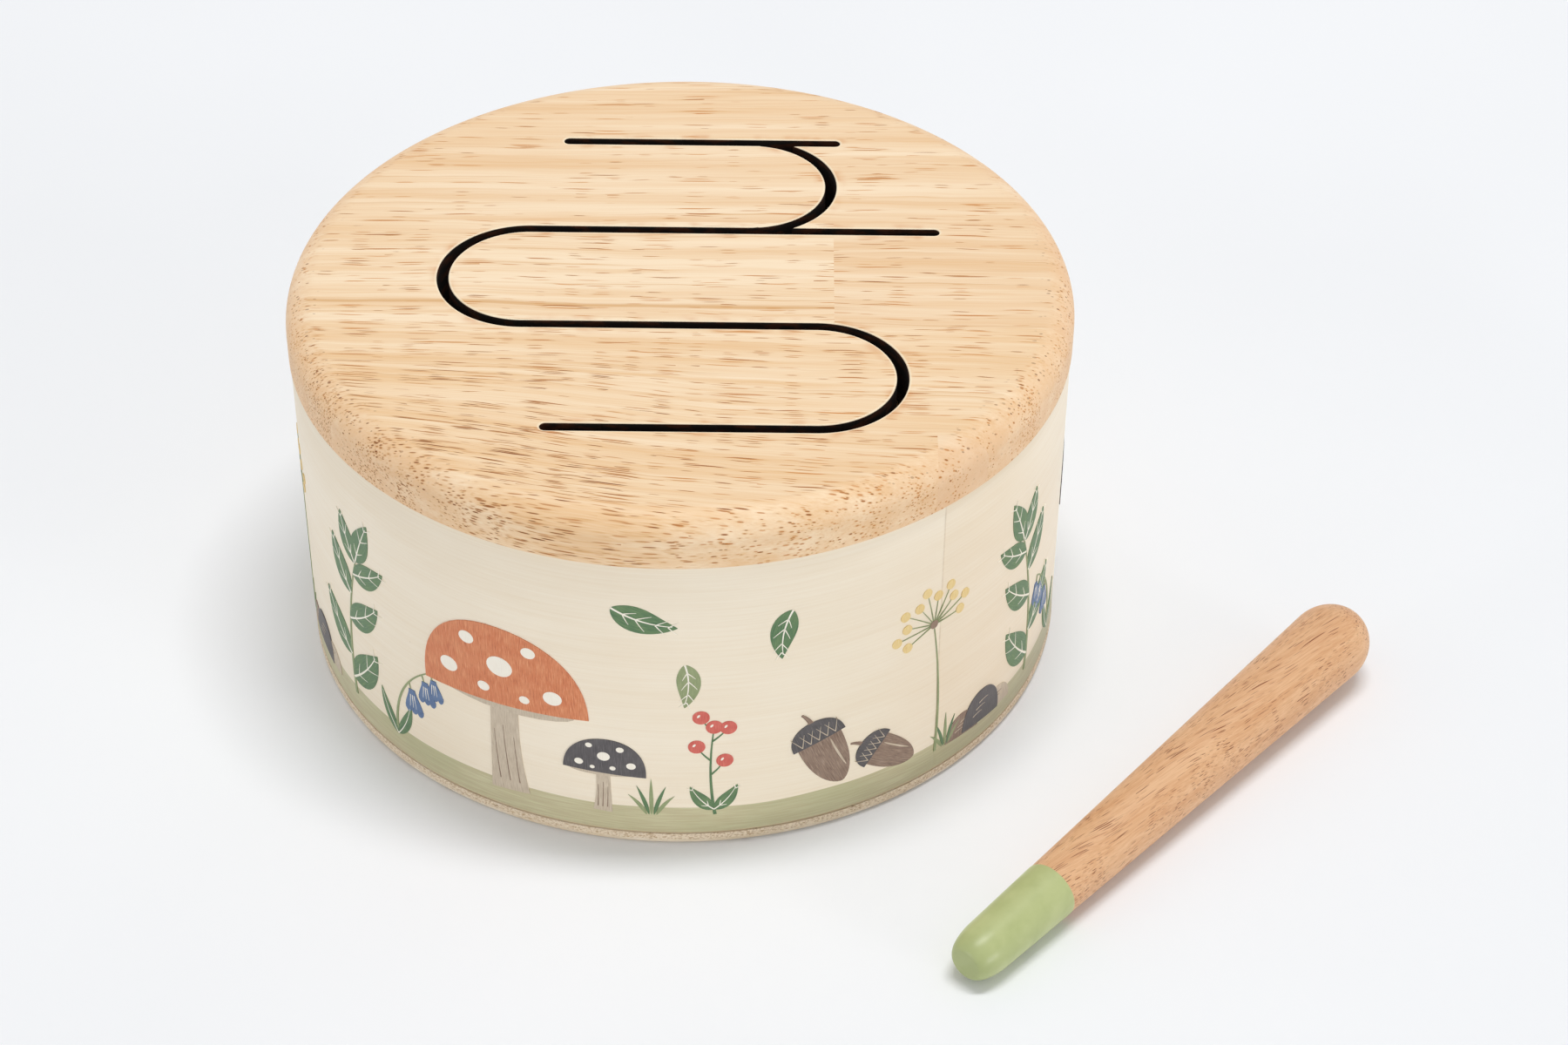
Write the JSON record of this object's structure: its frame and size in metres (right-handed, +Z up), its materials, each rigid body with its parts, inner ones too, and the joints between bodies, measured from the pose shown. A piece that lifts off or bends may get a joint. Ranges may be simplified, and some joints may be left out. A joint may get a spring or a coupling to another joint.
{
  "type": "wooden slit drum with mallet",
  "caption": "Round wooden slit drum: a slotted soundboard with tongues on a bent-ply shell, closed by a ply bottom, and a loose tapered mallet.",
  "frame": {"origin": "centre of the drum's flat underside, on the ground", "axes": "+Z up through the drum, +X along the slots towards the side that the mallet lies on, +Y away from the picture's camera"},
  "size_m": [0.232, 0.2053, 0.085],
  "materials": {
    "rubberwood": "sanded, clear matt lacquer, charred slot walls",
    "printed_ply": "cream coated veneer with a printed frieze and a green foot band",
    "plain_ply": "bare birch ply",
    "brad_steel": "bright wire",
    "beech": "turned and sanded, tip dipped in green paint"
  },
  "bodies": {
    "drum": {"soundboard": "rubberwood", "shell": "printed_ply", "seam_strip": "plain_ply", "upper_lining": "plain_ply", "lower_lining": "plain_ply", "bottom_disc": "plain_ply", "bottom_brad_1": "brad_steel", "bottom_brad_2": "brad_steel", "bottom_brad_3": "brad_steel", "bottom_brad_4": "brad_steel", "bottom_brad_5": "brad_steel", "bottom_brad_6": "brad_steel", "bottom_brad_7": "brad_steel", "bottom_brad_8": "brad_steel"},
    "mallet": {"mallet": "beech"}
  },
  "joints": [
    {"name": "mallet_lift", "type": "slide", "parent": "drum", "child": "mallet", "axis": [0, 0, 1], "range_m": [0, 0.12]}
  ]
}
